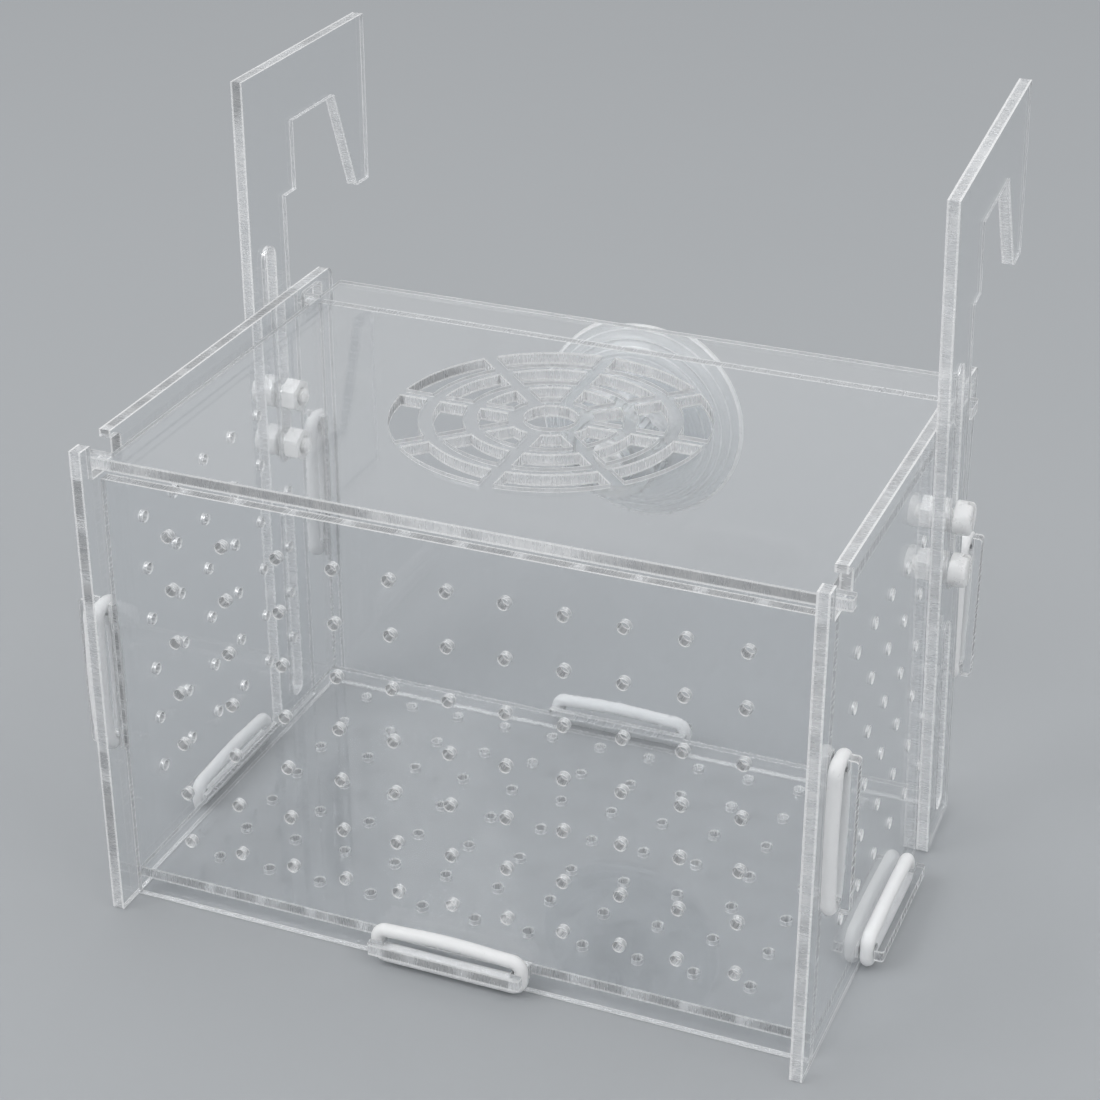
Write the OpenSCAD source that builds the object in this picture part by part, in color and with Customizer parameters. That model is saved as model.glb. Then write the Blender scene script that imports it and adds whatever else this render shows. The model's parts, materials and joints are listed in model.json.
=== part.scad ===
// Fish breeding box: a clear plate box that hangs on the rim of an aquarium.
// The plates are joined by T-shaped tabs held with silicone rings. A lid with
// a feeding grille lies between the side panels, two hooks slide on clamp
// screws, and a suction cup steadies the back.
// X runs across the box, Y from the front to the aquarium wall, Z up.
// The origin is the middle of the footprint, level with the side panels' feet.

/* [Plates] */
// Width over the outer faces of the side panels
body_w = 150; // [115:1:220]
// Clear depth between the front and back panels
inner_d = 90.2; // [70:0.1:150]
// Height of the side panels
side_h = 105.1; // [80:0.1:160]
// Thickness of every plate
plate_t = 2.6; // [2:0.1:4]
// How far the side panels stand out in front of the front panel
ear_front = 6.1; // [4:0.1:12]
// How far the side panels stand out behind the back panel
ear_back = 4.5; // [3:0.1:12]
// Drop from the top of the side panels to the top of the front and back panels
wall_drop = 8.1; // [7:0.1:12]
// Height of the floor's silicone rings above the feet
ring_foot = 0.3; // [0:0.1:8]
// Rounding of the side panels' rear top corner
corner_r = 2; // [0.5:0.5:6]

/* [Tabs and silicone rings] */
// Length of a tab, which is also the length over its two ears
tab_l = 33; // [20:0.5:50]
// Depth of the notch at each end of a tab, where the ring sits
notch_d = 2.6; // [0.8:0.1:4]
// Thickness of the ear at the tip of a tab
ear_t = 1.9; // [1.2:0.1:4]
// Thickness of the silicone ring's cord
cord_d = 3; // [2:0.1:4.5]
// Bend radius of the ring at its corners, on the middle of the cord
ring_bend = 2; // [1.6:0.1:2.4]

/* [Water holes] */
// Distance between neighbouring holes
hole_pitch = 11.765; // [8:0.005:16]
// Diameter of a hole
hole_d = 2.5; // [1.5:0.1:4]
// Least distance from the walls to the outer holes of the front and floor
hole_margin = 9; // [6:0.5:20]
// Distance from the front panel's outer face to the first column in a side
side_hole_y = 16; // [10:0.5:30]
// Least distance from a side panel's top and bottom to its holes
side_hole_margin = 18; // [12:0.5:30]

/* [Lid] */
// Height of the lid above the front and back panels
lid_gap = 1.1; // [0.6:0.1:2]
// Distance from the front panel's outer face to the lid's front edge
lid_front = 1.5; // [0.5:0.1:3]
// How far the lid reaches back beyond the back panel
lid_over = 7.5; // [4:0.5:15]
// Width of a front tongue
front_tongue = 2.9; // [2:0.1:4]
// Width of a rear tongue
rear_tongue = 5.5; // [4:0.1:9]
// How far a tongue sticks out beyond the side panel
tongue_out = 2; // [1:0.1:3]
// Height of the notches and slots for the tongues
notch_h = 5.5; // [4.5:0.1:6.5]
// Play of the lid towards the front
lid_play_front = 1.2; // [0.6:0.1:2]
// Play of the lid towards the back, where its front tongues lock
lid_play_back = 1.8; // [1:0.1:3]
// Radius of the feeding hole in the middle
feed_r = 5.5; // [3:0.1:10]
// Width of the curved slots of the grille
grille_slot = 6; // [3:0.1:7]
// Width of the bars and rings between the slots
grille_bar = 2.9; // [2:0.1:5]
// Number of rings of slots
grille_rings = 3; // [1:1:3]
// Number of bars that run out from the middle
grille_spokes = 8; // [4:1:12]

/* [Hooks] */
// Height of the hooks above the side panels
hook_rise = 50.6; // [35:0.1:80]
// Width of the long shank
shank_w = 16.5; // [13:0.5:24]
// Length of the hook along its top edge
hook_l = 56.6; // [45:0.1:80]
// Height of the bar over the aquarium rim
hook_bar = 14.3; // [8:0.1:20]
// Width of the gap for the aquarium wall, at its top
throat_w = 19.8; // [10:0.1:24]
// Height of the shoulder in front of the gap
shoulder_h = 15.4; // [8:0.1:22]
// Width of the shoulder beyond the shank
shoulder_w = 4.8; // [2:0.1:8]
// Height of the arm outside the aquarium wall
arm_h = 24; // [16:0.1:40]
// Width of the arm at its tip
arm_tip = 5.8; // [4:0.1:10]
// Width of the screw slots
slot_w = 5; // [4:0.1:6.5]
// Travel of a hook upwards from its place at rest
hook_up = 3.2; // [1:0.1:10]
// Travel of a hook downwards that the slot allows
hook_down = 33.5; // [20:0.5:45]
// Width of the bridge between the two slots
bridge = 9; // [6:0.5:14]
// Share of the screws' play in the slot that the right hook's lean takes up
lean_share = 0.96; // [0:0.01:1]
// Share of the screws' play in the slot that the left hook is set back by
shift_share = 0.8; // [0:0.05:1]
// Height of the hooks' lower ends above the feet
hook_foot = 0.7; // [0.5:0.1:5]

/* [Clamp screws] */
// Diameter of the screw shank
screw_d = 3.5; // [2.5:0.1:3.8]
// Distance between the two screws of a hook
screw_gap = 11.8; // [10:0.1:16]
// Distance of the upper screw below the top of the side panel
screw_drop = 23.2; // [18:0.1:30]
// Distance of the screws in front of the back panel
screw_back = 16.6; // [14:0.1:24]
// Diameter of the screw head
head_d = 7; // [6.4:0.1:9]
// Height of the screw head
head_h = 3.6; // [2:0.1:5]
// Width across the flats of the nut
nut_w = 6.5; // [6:0.1:8]
// Height of the nut
nut_h = 3.4; // [2:0.1:5]

/* [Suction cup] */
// Diameter of the cup at its rim
cup_d = 47; // [30:1:60]
// Depth of the cup from the back panel to its rim
cup_h = 11.6; // [9:0.1:16]
// Height of the cup's upper edge above the top of the back panel
cup_over = 2.5; // [-20:0.5:3]
// Diameter of the neck in the back panel
neck_d = 7; // [5:0.1:10]
// Diameter of the cup's nut inside the box, over its ribs
cup_nut_d = 22; // [16:0.5:30]
// Height of the cup's nut
cup_nut_h = 7; // [4:0.5:10]

/* [Output] */
// Node to draw

/* [Hidden] */
$fn = 64;
past = 1;           // how far a cutting shape runs past what it cuts
edge_gap = 0.05;    // gap between a plate's edge and the plate it meets
slot_gap = 0.15;    // play of a tab in its slot, each side
seat_gap = 0.2;     // gap between a ring and the tab inside it
side_gap = 0.15;    // gap between a ring and the plates beside it
face_gap = 0.1;     // gap between flat faces that slide on each other
lid_side_gap = 0.3; // gap between the lid and each side panel
turn_gap = 0.3;     // gap round a screw shank and round the cup's neck
neck_gap = 0.3;     // gap from the back panel to the cup's nut and to the cup's shoulder

// plates, with Y counted from the front panel's outer face
half_w = body_w / 2;
in_half = half_w - plate_t;
edge_x = in_half - edge_gap;
back_in = plate_t + inner_d;
back_out = back_in + plate_t;
side_end = back_out + ear_back;
side_d = ear_front + side_end;
wall_h = side_h - wall_drop;
mid_y = (plate_t + back_in) / 2;
tab_z = side_h / 2;
floor_z = ring_foot + cord_d + seat_gap;
floor_mid = floor_z + plate_t / 2;
seat_w = cord_d + 2 * side_gap;
neck_l = tab_l - 2 * notch_d;
tab_out = seat_w + ear_t;
tab_corner = 0.6;

// rings, measured from the middle of a tab to the middle of the cord
ring_short = plate_t / 2 + seat_gap + cord_d / 2;
ring_long = neck_l / 2 + seat_gap + cord_d / 2;

// lid
lid_z = wall_h + lid_gap;
lid_end = back_out + lid_over;
tongue_x = half_w + tongue_out;
rear_tongue_end = back_in + 0.2;  // lies just behind the inner face of the back panel
rear_tongue_start = rear_tongue_end - rear_tongue;
front_tongue_end = lid_front + front_tongue;
notch_floor = lid_z - face_gap;
notch_room = 4.1;   // room in front of and behind a front tongue
mouth_room = 0.5;   // room behind a front tongue as it is lifted in
notch_start = lid_front - notch_room;
notch_mouth_end = front_tongue_end + mouth_room;
notch_end = front_tongue_end + notch_room;
slot_corner = 1;
lid_corner = 0.6;
grille_y = (lid_front + lid_end) / 2;
ring_step = grille_slot + grille_bar;
grille_start = feed_r + grille_bar + 0.3;

// screws and hooks
screw_y = back_in - screw_back;
screw_top = side_h - screw_drop;
screw_low = screw_top - screw_gap;
screw_r = screw_d / 2;
screw_hole_r = screw_r + turn_gap;
hook_x = half_w + face_gap;
head_x = hook_x + plate_t + face_gap;
nut_x = in_half - face_gap;
screw_tip = 1.4;    // reach of a screw beyond its nut
screw_end = nut_x - nut_h - screw_tip;
hook_top = side_h + hook_rise;
throat_top = hook_top - hook_bar;
shoulder_z = throat_top - shoulder_h;
throat_front = shank_w / 2 + shoulder_w;
throat_back = throat_front + throat_w;
hook_end = hook_l - shank_w / 2;
upper_slot = [screw_low - screw_r - hook_up - face_gap,
              screw_top + screw_r + hook_down + face_gap];
slot_foot = 6;      // web below the lower slot
lower_slot = [hook_foot + slot_foot, upper_slot[0] - bridge];
pivot_z = (screw_top + screw_low) / 2;

// The right hook leans until its screws stop it, or the ring behind it does.
screw_play = (slot_w - screw_d) / 2;
hook_shift = shift_share * screw_play;
screw_lean = asin(lean_share * screw_play / (screw_gap / 2));
bend_y = back_in + plate_t / 2 - (ring_short - ring_bend) - screw_y;
bend_z = pivot_z - (tab_z - (ring_long - ring_bend));
ring_lean = acos((shank_w / 2 + ring_bend + cord_d / 2 + side_gap) / norm([bend_y, bend_z]))
            - atan2(bend_z, bend_y);
hook_lean = min(screw_lean, ring_lean);

// suction cup
cup_z = wall_h + cup_over - cup_d / 2;

// middle of the footprint, front ears to the end of the left hook
y_mid = (screw_y + hook_shift + hook_end - ear_front) / 2;

clear = [0.86, 0.91, 0.95, 0.35];
white = [0.93, 0.93, 0.92];
milky = [0.9, 0.92, 0.93];

// ---------- shared shapes ----------

module rounded(size, r) {
  translate([0, r]) square([size[0], size[1] - 2 * r]);
  translate([r, 0]) square([size[0] - 2 * r, size[1]]);
  for (x = [r, size[0] - r], y = [r, size[1] - r]) translate([x, y]) circle(r);
}

// slot with round ends, from one height to another
module round_slot(span, w) {
  translate([-w / 2, span[0] + w / 2]) square([w, span[1] - span[0] - w]);
  for (z = [span[0] + w / 2, span[1] - w / 2]) translate([0, z]) circle(w / 2);
}

// plates lying in the three directions, drawn at their place
module plate_yz(x) {
  translate([x, -y_mid, 0]) rotate([90, 0, 90]) linear_extrude(plate_t) children();
}

module plate_xz(y) {
  translate([0, y + plate_t - y_mid, 0]) rotate([90, 0, 0]) linear_extrude(plate_t) children();
}

module plate_xy(z) {
  translate([0, -y_mid, z]) linear_extrude(plate_t) children();
}

// T-shaped tab that leaves a plate's edge along +X
module tab_2d() {
  difference() {
    union() {
      translate([-past, -tab_l / 2]) square([past + plate_t + seat_w, tab_l]);
      translate([plate_t + seat_w - tab_corner, -tab_l / 2])
        rounded([ear_t + tab_corner, tab_l], tab_corner);
    }
    for (s = [-1, 1])
      translate([plate_t, s * (tab_l / 2) - (s > 0 ? notch_d : past)])
        square([seat_w, notch_d + past]);
  }
}

// slot that takes a tab, long along Y
module tab_slot_2d() {
  square([plate_t + 2 * slot_gap, tab_l + 2 * slot_gap], center = true);
}

// number of holes that fit into a length
function hole_count(l, margin) = floor((l - 2 * margin) / hole_pitch) + 1;

// grid of holes centred on the origin
module hole_grid(nx, ny) {
  for (i = [0 : nx - 1], j = [0 : ny - 1])
    translate([(i - (nx - 1) / 2) * hole_pitch, (j - (ny - 1) / 2) * hole_pitch])
      circle(d = hole_d);
}

// ---------- plates ----------

module side_outline() {
  difference() {
    union() {
      translate([-ear_front, 0]) square([side_d, side_h - corner_r]);
      translate([-ear_front, 0]) square([side_d - corner_r, side_h]);
      translate([side_end - corner_r, side_h - corner_r]) circle(corner_r);
    }
    // notch that lets the front tongue in, and its undercut
    translate([notch_start, notch_floor])
      square([notch_mouth_end - notch_start, notch_h + wall_drop]);
    translate([notch_start, notch_floor]) square([slot_corner, notch_h]);
    translate([notch_start, notch_floor])
      rounded([notch_end - notch_start, notch_h], slot_corner);
    // closed slot for the rear tongue
    translate([rear_tongue_start - lid_play_front, notch_floor])
      rounded([rear_tongue + lid_play_front + lid_play_back, notch_h], slot_corner);
  }
}

module side_holes() {
  nz = hole_count(side_h, side_hole_margin);
  ny = floor((screw_y - side_hole_y) / hole_pitch) + 1;
  for (i = [0 : ny - 1], j = [0 : nz - 1]) {
    y = side_hole_y + i * hole_pitch;
    z = tab_z + (j - (nz - 1) / 2) * hole_pitch;
    // no water hole where a clamp screw passes
    if (norm([y - screw_y, z - screw_top]) > head_d
        && norm([y - screw_y, z - screw_low]) > head_d)
      translate([y, z]) circle(d = hole_d);
  }
}

module side_2d() {
  difference() {
    side_outline();
    side_holes();
    for (y = [plate_t / 2, back_in + plate_t / 2]) translate([y, tab_z]) tab_slot_2d();
    translate([mid_y, floor_mid]) rotate(90) tab_slot_2d();
    for (z = [screw_low, screw_top]) translate([screw_y, z]) circle(screw_hole_r);
  }
}

module side_panel_left() {
  color(clear) plate_yz(-half_w) side_2d();
}

module side_panel_right() {
  color(clear) plate_yz(in_half) side_2d();
}

module wall_2d() {
  difference() {
    union() {
      translate([-edge_x, 0]) square([2 * edge_x, wall_h]);
      for (s = [0, 1]) mirror([s, 0]) translate([in_half, tab_z]) tab_2d();
    }
    translate([0, floor_mid]) rotate(90) tab_slot_2d();
  }
}

module front_panel() {
  floor_top = floor_z + plate_t;
  color(clear) plate_xz(0) difference() {
    wall_2d();
    translate([0, (floor_top + wall_h) / 2])
      hole_grid(hole_count(2 * in_half, hole_margin), hole_count(wall_h - floor_top, hole_margin));
  }
}

module back_panel() {
  color(clear) plate_xz(back_in) difference() {
    wall_2d();
    translate([0, cup_z]) circle(neck_d / 2 + turn_gap);
  }
}

module bottom_panel() {
  color(clear) plate_xy(floor_z) difference() {
    union() {
      translate([-edge_x, plate_t + edge_gap]) square([2 * edge_x, inner_d - 2 * edge_gap]);
      for (s = [0, 1]) mirror([s, 0]) translate([in_half, mid_y]) tab_2d();
      translate([0, back_in]) rotate(90) tab_2d();
      translate([0, plate_t]) rotate(-90) tab_2d();
    }
    translate([0, mid_y])
      hole_grid(hole_count(2 * in_half, hole_margin), hole_count(inner_d, hole_margin));
  }
}

// ---------- lid ----------

// ring of slots between two radii, parted by straight bars
module slot_ring(r) {
  difference() {
    circle(r + grille_slot);
    circle(r);
    for (i = [0 : grille_spokes - 1])
      rotate(i * 360 / grille_spokes) translate([0, -grille_bar / 2])
        square([r + grille_slot + past, grille_bar]);
  }
}

module lid() {
  lid_half = in_half - lid_side_gap;
  color(clear) plate_xy(lid_z) difference() {
    union() {
      translate([-lid_half, lid_front]) rounded([2 * lid_half, lid_end - lid_front], lid_corner);
      translate([-tongue_x, lid_front]) rounded([2 * tongue_x, front_tongue], lid_corner);
      translate([-tongue_x, rear_tongue_start])
        rounded([2 * tongue_x, rear_tongue], lid_corner);
    }
    translate([0, grille_y]) {
      circle(feed_r);
      for (k = [0 : grille_rings - 1]) slot_ring(grille_start + k * ring_step);
    }
  }
}

// ---------- hooks ----------

// hook seen from its left side, Y counted from the middle of the shank
module hook_2d() {
  difference() {
    polygon([[-shank_w / 2, hook_foot], [shank_w / 2, hook_foot],
             [shank_w / 2, shoulder_z], [throat_front, shoulder_z],
             [throat_front, throat_top], [throat_back, throat_top],
             [hook_end - arm_tip, throat_top - arm_h], [hook_end, throat_top - arm_h],
             [hook_end, hook_top], [-shank_w / 2, hook_top]]);
    round_slot(upper_slot, slot_w);
    round_slot(lower_slot, slot_w);
  }
}

module hook_left() {
  color(clear) plate_yz(-hook_x - plate_t) translate([screw_y + hook_shift, 0]) hook_2d();
}

module hook_right() {
  color(clear) plate_yz(hook_x)
    translate([screw_y, pivot_z]) rotate(hook_lean) translate([0, -pivot_z]) hook_2d();
}

// ---------- silicone rings ----------

// loop of round cord in the YZ plane, long along Z
module cord_loop() {
  straight = ring_long - ring_bend;
  across = ring_short - ring_bend;
  for (s = [-1, 1]) {
    translate([0, s * ring_short, -straight]) cylinder(d = cord_d, h = 2 * straight);
    translate([0, -across, s * ring_long]) rotate([-90, 0, 0])
      cylinder(d = cord_d, h = 2 * across);
  }
  for (sy = [0, 1], sz = [0, 1])
    mirror([0, sy, 0]) mirror([0, 0, sz])
      translate([0, across, straight]) rotate([90, 0, 90])
        rotate_extrude(angle = 90) translate([ring_bend, 0]) circle(d = cord_d);
}

module ring_at(p) {
  color(milky) translate([p[0], p[1] - y_mid, p[2]]) children();
}

ring_x = half_w + seat_w / 2;
ring_back_y = back_in + plate_t / 2;

module ring_front_left() {
  ring_at([-ring_x, plate_t / 2, tab_z]) cord_loop();
}

module ring_front_right() {
  ring_at([ring_x, plate_t / 2, tab_z]) cord_loop();
}

module ring_back_left() {
  ring_at([-ring_x, ring_back_y, tab_z]) cord_loop();
}

module ring_back_right() {
  ring_at([ring_x, ring_back_y, tab_z]) cord_loop();
}

module ring_bottom_left() {
  ring_at([-ring_x, mid_y, floor_mid]) rotate([90, 0, 0]) cord_loop();
}

module ring_bottom_right() {
  ring_at([ring_x, mid_y, floor_mid]) rotate([90, 0, 0]) cord_loop();
}

module ring_bottom_front() {
  ring_at([0, -seat_w / 2, floor_mid]) rotate([90, 0, 90]) cord_loop();
}

module ring_bottom_back() {
  ring_at([0, back_out + seat_w / 2, floor_mid]) rotate([90, 0, 90]) cord_loop();
}

// ---------- clamp screws and nuts ----------

// screw on the right side, with its axis along X
module screw_shape() {
  head_r = head_d / 2;
  edge = 0.8;
  groove_w = 1.2;
  groove_h = 1.4;
  difference() {
    union() {
      translate([screw_end, 0, 0]) rotate([0, 90, 0])
        cylinder(r = screw_r, h = head_x - screw_end + edge);
      translate([head_x, 0, 0]) rotate([0, 90, 0]) rotate_extrude() {
        square([head_r, head_h - edge]);
        square([head_r - edge, head_h]);
        translate([head_r - edge, head_h - edge]) circle(edge);
      }
    }
    translate([head_x + head_h - groove_h, -groove_w / 2, -head_r - past])
      cube([groove_h + past, groove_w, head_d + 2 * past]);
  }
}

// nut on the right side, inside the box
module nut_shape() {
  corner_cut = 0.5;   // height of the step turned off the corners at both ends
  corner_r_out = nut_w / 2 + 0.35;
  translate([nut_x - nut_h, 0, 0]) rotate([0, 90, 0]) difference() {
    intersection() {
      cylinder(d = nut_w / cos(30), h = nut_h, $fn = 6);
      rotate_extrude() {
        square([nut_w / 2, nut_h]);
        translate([0, corner_cut]) square([corner_r_out, nut_h - 2 * corner_cut]);
      }
    }
    translate([0, 0, -past]) cylinder(r = screw_hole_r, h = nut_h + 2 * past);
  }
}

module clamp_at(left, z) {
  color(white) translate([0, screw_y - y_mid, z]) mirror([left ? 1 : 0, 0, 0]) children();
}

module screw_left_upper() { clamp_at(true, screw_top) screw_shape(); }
module screw_left_lower() { clamp_at(true, screw_low) screw_shape(); }
module screw_right_upper() { clamp_at(false, screw_top) screw_shape(); }
module screw_right_lower() { clamp_at(false, screw_low) screw_shape(); }
module nut_left_upper() { clamp_at(true, screw_top) nut_shape(); }
module nut_left_lower() { clamp_at(true, screw_low) nut_shape(); }
module nut_right_upper() { clamp_at(false, screw_top) nut_shape(); }
module nut_right_lower() { clamp_at(false, screw_low) nut_shape(); }

// ---------- suction cup ----------

// radius of the arc that spans a half width with a given height
function arc_r(half, rise) = (half * half + rise * rise) / (2 * rise);

module cup_profile() {
  cup_r = cup_d / 2;
  lip = 0.8;          // width of the flat rim
  shell_back = 1.8;   // from the back panel to the middle of the shell's outside
  hollow_back = 5.4;  // from the back panel to the middle of its hollow
  bead_r = 0.7;
  bead_in = 3.4;      // from the rim's edge inwards to the bead
  bead_back = 2.9;    // from the rim back to the bead
  post_tip = 1;       // reach of the neck beyond its nut
  post_edge = 0.6;
  post_l = plate_t + neck_gap + cup_nut_h + post_tip;
  shoulder_r = neck_d / 2 + 4;
  shell_rise = cup_h - shell_back;
  hollow_rise = cup_h - hollow_back;
  shell_r = arc_r(cup_r, shell_rise);
  hollow_r = arc_r(cup_r - lip, hollow_rise);
  difference() {
    union() {
      // neck through the back panel and the nut, and shoulder
      translate([0, -post_l]) {
        translate([0, post_edge]) square([neck_d / 2, post_l - post_edge + hollow_back / 2]);
        square([neck_d / 2 - post_edge, post_l]);
        translate([neck_d / 2 - post_edge, post_edge]) circle(post_edge);
      }
      translate([0, neck_gap]) square([shoulder_r, hollow_back / 2]);
      // shell and the bead behind its rim
      intersection() {
        translate([0, cup_h - shell_rise + shell_r]) circle(shell_r, $fn = 128);
        square([cup_r, cup_h]);
      }
      translate([cup_r - bead_in, cup_h - bead_back]) circle(bead_r);
    }
    translate([0, cup_h - hollow_rise + hollow_r]) circle(hollow_r, $fn = 128);
    translate([-2 * cup_r, -cup_r]) square([2 * cup_r, 3 * cup_r]);
    translate([0, cup_h]) square([2 * cup_r, cup_r]);
  }
}

module suction_cup() {
  color(clear) translate([0, back_out - y_mid, cup_z]) rotate([-90, 0, 0])
    rotate_extrude($fn = 96) cup_profile();
}

// ribbed nut on the cup's neck, inside the box
module cup_nut() {
  ribs = 24;
  groove_r = 0.9;
  groove_out = 0.2;   // from the ribs' tops out to the middle of a groove
  edge = 0.8;         // slope at both ends of the ribs
  nut_r = cup_nut_d / 2;
  color(clear) translate([0, back_in - neck_gap - y_mid, cup_z]) rotate([90, 0, 0])
    difference() {
      rotate_extrude($fn = 96) polygon([
        [0, 0], [nut_r - edge, 0], [nut_r, edge], [nut_r, cup_nut_h - edge],
        [nut_r - edge, cup_nut_h], [0, cup_nut_h]]);
      for (i = [0 : ribs - 1]) rotate([0, 0, i * 360 / ribs])
        translate([nut_r + groove_out, 0, -past])
          cylinder(r = groove_r, h = cup_nut_h + 2 * past);
      translate([0, 0, -past]) cylinder(r = neck_d / 2 + turn_gap, h = cup_nut_h + 2 * past);
    }
}

// ---------- drawing ----------

side_panel_left();
side_panel_right();
front_panel();
back_panel();
bottom_panel();
lid();
hook_left();
hook_right();
ring_front_left();
ring_front_right();
ring_back_left();
ring_back_right();
ring_bottom_left();
ring_bottom_right();
ring_bottom_front();
ring_bottom_back();
screw_left_upper();
screw_left_lower();
screw_right_upper();
screw_right_lower();
nut_left_upper();
nut_left_lower();
nut_right_upper();
nut_right_lower();
suction_cup();
cup_nut();
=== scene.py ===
"""Finishes and studio for a clear fish breeding box of slotted acrylic plates."""

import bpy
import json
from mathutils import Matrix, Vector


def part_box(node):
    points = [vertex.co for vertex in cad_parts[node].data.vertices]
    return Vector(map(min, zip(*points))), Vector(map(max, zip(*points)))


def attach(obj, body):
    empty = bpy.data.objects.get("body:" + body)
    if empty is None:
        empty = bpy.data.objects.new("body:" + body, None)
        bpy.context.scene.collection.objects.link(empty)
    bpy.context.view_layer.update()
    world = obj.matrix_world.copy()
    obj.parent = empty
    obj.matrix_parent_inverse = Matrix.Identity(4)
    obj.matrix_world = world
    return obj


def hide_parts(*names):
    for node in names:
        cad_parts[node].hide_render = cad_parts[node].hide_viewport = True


bl_info = {
    "name": "Fish breeding box",
    "version": (1, 0, 0),
    "blender": (4, 5, 0),
    "location": "3D View > Sidebar > Breeding box",
    "description": "Finishes the plates, lid, hooks, rings, screws and cup, and sets the studio",
    "category": "Object",
}

import json
import math

import bmesh
import bpy
from mathutils import Vector

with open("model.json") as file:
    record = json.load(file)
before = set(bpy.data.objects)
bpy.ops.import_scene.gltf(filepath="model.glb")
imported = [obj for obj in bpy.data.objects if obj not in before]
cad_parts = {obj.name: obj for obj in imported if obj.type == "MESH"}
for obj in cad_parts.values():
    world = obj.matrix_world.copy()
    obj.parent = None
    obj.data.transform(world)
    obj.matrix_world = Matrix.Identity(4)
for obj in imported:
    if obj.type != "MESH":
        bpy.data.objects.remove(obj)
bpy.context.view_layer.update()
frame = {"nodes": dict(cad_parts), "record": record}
NODES = frame["nodes"]
BODY = {node: body for body, nodes in frame["record"]["behaviour"]["bodies"].items()
        for node in nodes}

# lengths in metres
MM = 0.001
MERGE = 1e-7  # distance under which doubled vertices are one
NUT_MERGE = 0.02 * MM  # the same for a nut, whose turned faces end in slivers
FLOOR_GAP = 0.2 * MM  # keeps the floor from lying in the same plane as the feet
FLOOR_RADIUS = 6.0

PLATES = ("side_panel_left", "side_panel_right", "front_panel", "back_panel", "bottom_panel")
HOOKS = ("hook_left", "hook_right")
RINGS = tuple(name for name in NODES if name.startswith("ring_"))
SCREWS = tuple(name for name in NODES if name.startswith("screw_"))
NUTS = tuple(name for name in NODES if name.startswith("nut_"))

# refractive indices
ACRYLIC_IOR, SILICONE_IOR, NYLON_IOR, VINYL_IOR = 1.49, 1.41, 1.53, 1.46

# depths of the fine relief, in metres
FACE_RELIEF, EDGE_RELIEF, FLOOR_RELIEF = 0.000004, 0.00012, 0.00001
SILICONE_RELIEF, NYLON_RELIEF, VINYL_RELIEF = 0.00003, 0.00002, 0.00004
NUT_RELIEF = 0.00003

# noise scales: roughly how many grains lie side by side in a metre
STREAK_SCALE, GRAIN_SCALE, EDGE_CLOUD_SCALE = 1700.0, 2800.0, 260.0
SMEAR_SCALE, SCRATCH_SCALE, DUST_SCALE = 38.0, 260.0, 900.0
CLOUD_SCALE, PIT_SCALE, MILK_SCALE = 300.0, 2600.0, 170.0

# how the cut edge's streaks, grain and clouds share its light colour
STREAK_SHARE, GRAIN_SHARE, EDGE_CLOUD_SHARE = 0.32, 0.26, 0.3
STREAK_STRETCH = 0.85  # how far the streaks are drawn out along the thickness
CUT_FACE = 0.6  # a face turned further than this from the plate's own is a cut face
# the light bands along the borders of a cut face are a painted highlight
PAINTED_BORDER_HIGHLIGHT = (0.58, 0.76)  # where the light border lines start, in shares of half a thickness
GLOW_SHARE = 0.2  # share of the frost that light passes through
CORE_BORDER, CORE_SHARE = (0.6, 0.76), (0.45, 0.1)  # a cut edge is clearest in its middle
NUT_CLOUDY = 0.28  # share of the cup's nut that is cloudy

# borders of the cup's milky places, in shares of its radius, and waves of its faint rings; the
# milky middle is partly real cloudiness and partly painted highlight, the rim and the rings are
# painted highlight lines
MILK_AND_HIGHLIGHT_MIDDLE, RIM_HIGHLIGHT, RING_HIGHLIGHTS, RING_WAVES = (0.62, 0.34), (0.962, 0.985), (0.62, 0.75), 92.0

RING_BEND = 2.0 * MM  # radius of a ring's middle line at its corners
RING_SWAY = 0.05 * MM  # how far the cord wanders out of its plane
STRAND_STEPS, BEND_STEPS, END_STEPS = 32, 8, 4  # points along each stretch of a ring
THREAD_STEPS = 8  # points along one turn of a thread
THREAD_FLANK = 1.3  # above 1, the thread's root is flat

# colours that no setting holds
GREASE = (0.955, 0.965, 0.97, 1.0)
FROST_GLOW = (0.86, 0.865, 0.87, 1.0)
CORE_DARK, CORE_LIGHT = (0.92, 0.925, 0.93, 1.0), (0.99, 0.99, 0.99, 1.0)
SILICONE_CLOUD, NYLON_CLOUD = (0.965, 0.97, 0.975, 1.0), (0.975, 0.975, 0.97, 1.0)
VINYL_CLOUD, NUT_CLOUD = (0.86, 0.885, 0.90, 1.0), (0.95, 0.96, 0.97, 1.0)
# colours of the cup's milky shader, which is partly real cloudiness and partly painted highlight
MILK_AND_HIGHLIGHT_BASE, MILK_AND_HIGHLIGHT_CLOUD = (0.93, 0.94, 0.95, 1.0), (0.975, 0.98, 0.985, 1.0)
SKY_COLOUR = (0.98, 0.99, 1.0, 1.0)
# tints of the lamps' light behind clear pieces
FACE_SHADE, CORE_SHADE = (0.96, 0.965, 0.97, 1.0), (0.9, 0.905, 0.91, 1.0)
VINYL_SHADE, NUT_SHADE = (0.88, 0.89, 0.9, 1.0), (0.9, 0.91, 0.92, 1.0)
EVEN = (1.0, 1.0, 1.0)  # light scatters as far in red as in green and blue

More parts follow.
